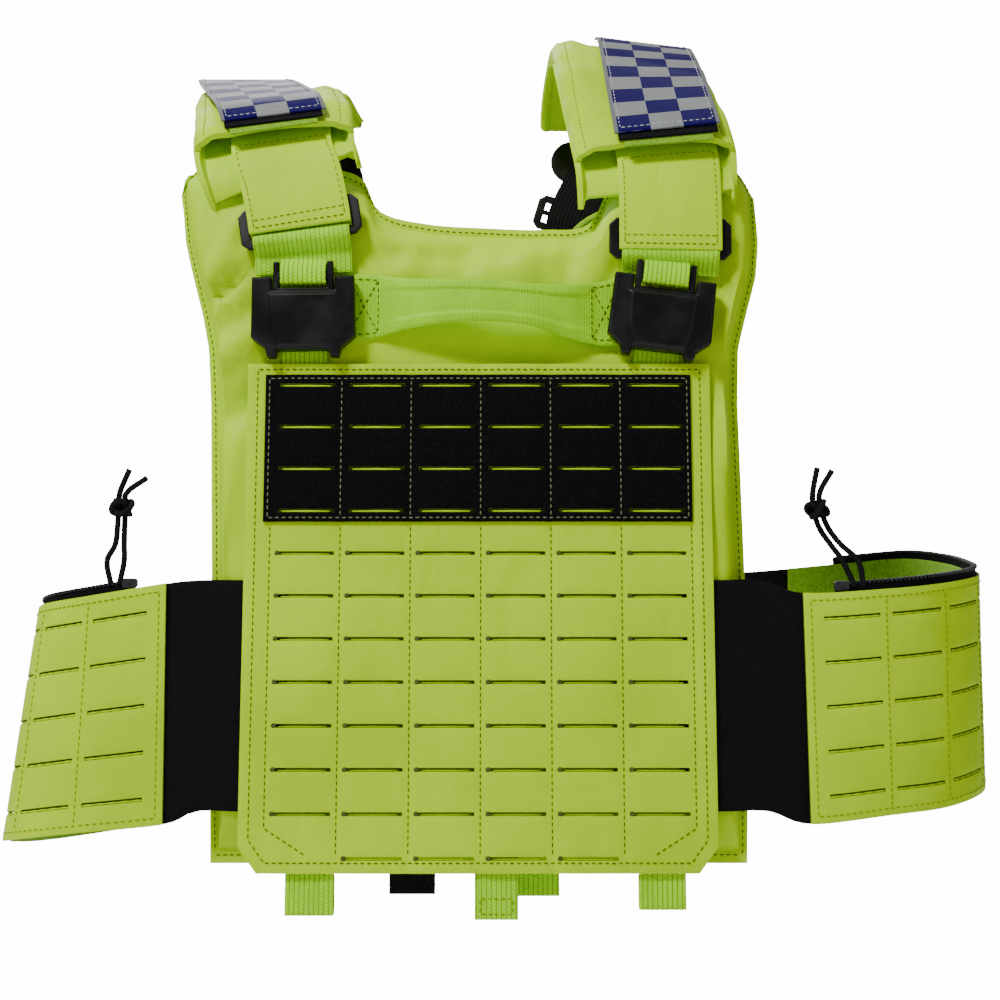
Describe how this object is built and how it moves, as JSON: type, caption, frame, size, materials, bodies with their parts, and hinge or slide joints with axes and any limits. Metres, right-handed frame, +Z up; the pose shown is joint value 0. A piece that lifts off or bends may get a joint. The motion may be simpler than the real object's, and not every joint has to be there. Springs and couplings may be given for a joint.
{
  "type": "tactical vest",
  "caption": "High-visibility tactical plate carrier vest with a slotted front flap, padded shoulder straps, side-release buckles and side bands around the waist.",
  "frame": {"origin": "midway between the undersides of the two shoulder pads, over the middle of the torso space, where a wearer's shoulders or a hanger hold the vest", "axes": "+Z up along the wearer, +X towards the right of the front view, -Y out of the chest, so the front panel faces -Y"},
  "size_m": [0.5704, 0.2684, 0.5183],
  "materials": {
    "yellow_laminate": "smooth laminated cloth",
    "yellow_webbing": "ribbed webbing",
    "black_webbing": "ribbed elastic and webbing",
    "black_loop": "napped loop",
    "lime_velour": "napped velour",
    "black_plastic": "moulded",
    "check_film": "checks under clear film",
    "black_cord": "braided",
    "zip_metal": "painted"
  },
  "bodies": {
    "root": {"back_elastic_left": "black_webbing", "back_elastic_right": "black_webbing", "back_face": "yellow_laminate", "back_flap": "yellow_laminate", "back_lining": "lime_velour", "bottom_loop_left": "yellow_webbing", "bottom_loop_right": "yellow_webbing", "buckle_plug_left": "black_plastic", "buckle_plug_right": "black_plastic", "buckle_socket_left": "black_plastic", "buckle_socket_right": "black_plastic", "buckle_strap_lower_left": "yellow_webbing", "buckle_strap_lower_right": "yellow_webbing", "buckle_strap_upper_left": "yellow_webbing", "buckle_strap_upper_right": "yellow_webbing", "centre_strap": "yellow_webbing", "check_patch_left": "check_film", "check_patch_right": "check_film", "front_elastic_left": "black_webbing", "front_elastic_right": "black_webbing", "front_face": "yellow_laminate", "front_flap": "yellow_laminate", "front_lining": "lime_velour", "grab_handle": "yellow_webbing", "loop_field": "black_loop", "patch_hook_left": "black_loop", "patch_hook_right": "black_loop", "patch_loop_left": "lime_velour", "patch_loop_right": "lime_velour", "pocket_tab_black": "black_webbing", "pocket_tab_yellow": "yellow_laminate", "rear_ring": "black_plastic", "rear_slider_left": "black_plastic", "rear_slider_right": "black_plastic", "rear_strap_left": "black_webbing", "rear_strap_right": "black_webbing", "shoulder_pad_left": "yellow_laminate", "shoulder_pad_right": "yellow_laminate", "shoulder_strap_left": "yellow_laminate", "shoulder_strap_right": "yellow_laminate", "shoulder_webbing_left": "yellow_webbing", "shoulder_webbing_right": "yellow_webbing", "side_lining_left": "lime_velour", "side_lining_right": "lime_velour", "side_panel_left": "yellow_laminate", "side_panel_right": "yellow_laminate", "slider_left": "black_plastic", "slider_right": "black_plastic", "zip_cord_inner_left": "black_cord", "zip_cord_inner_right": "black_cord", "zip_cord_outer_left": "black_cord", "zip_cord_outer_right": "black_cord", "zip_knot_left": "black_cord", "zip_knot_right": "black_cord", "zip_puller_left": "zip_metal", "zip_puller_right": "zip_metal", "zip_tape_left": "black_webbing", "zip_tape_right": "black_webbing"}
  },
  "joints": []
}
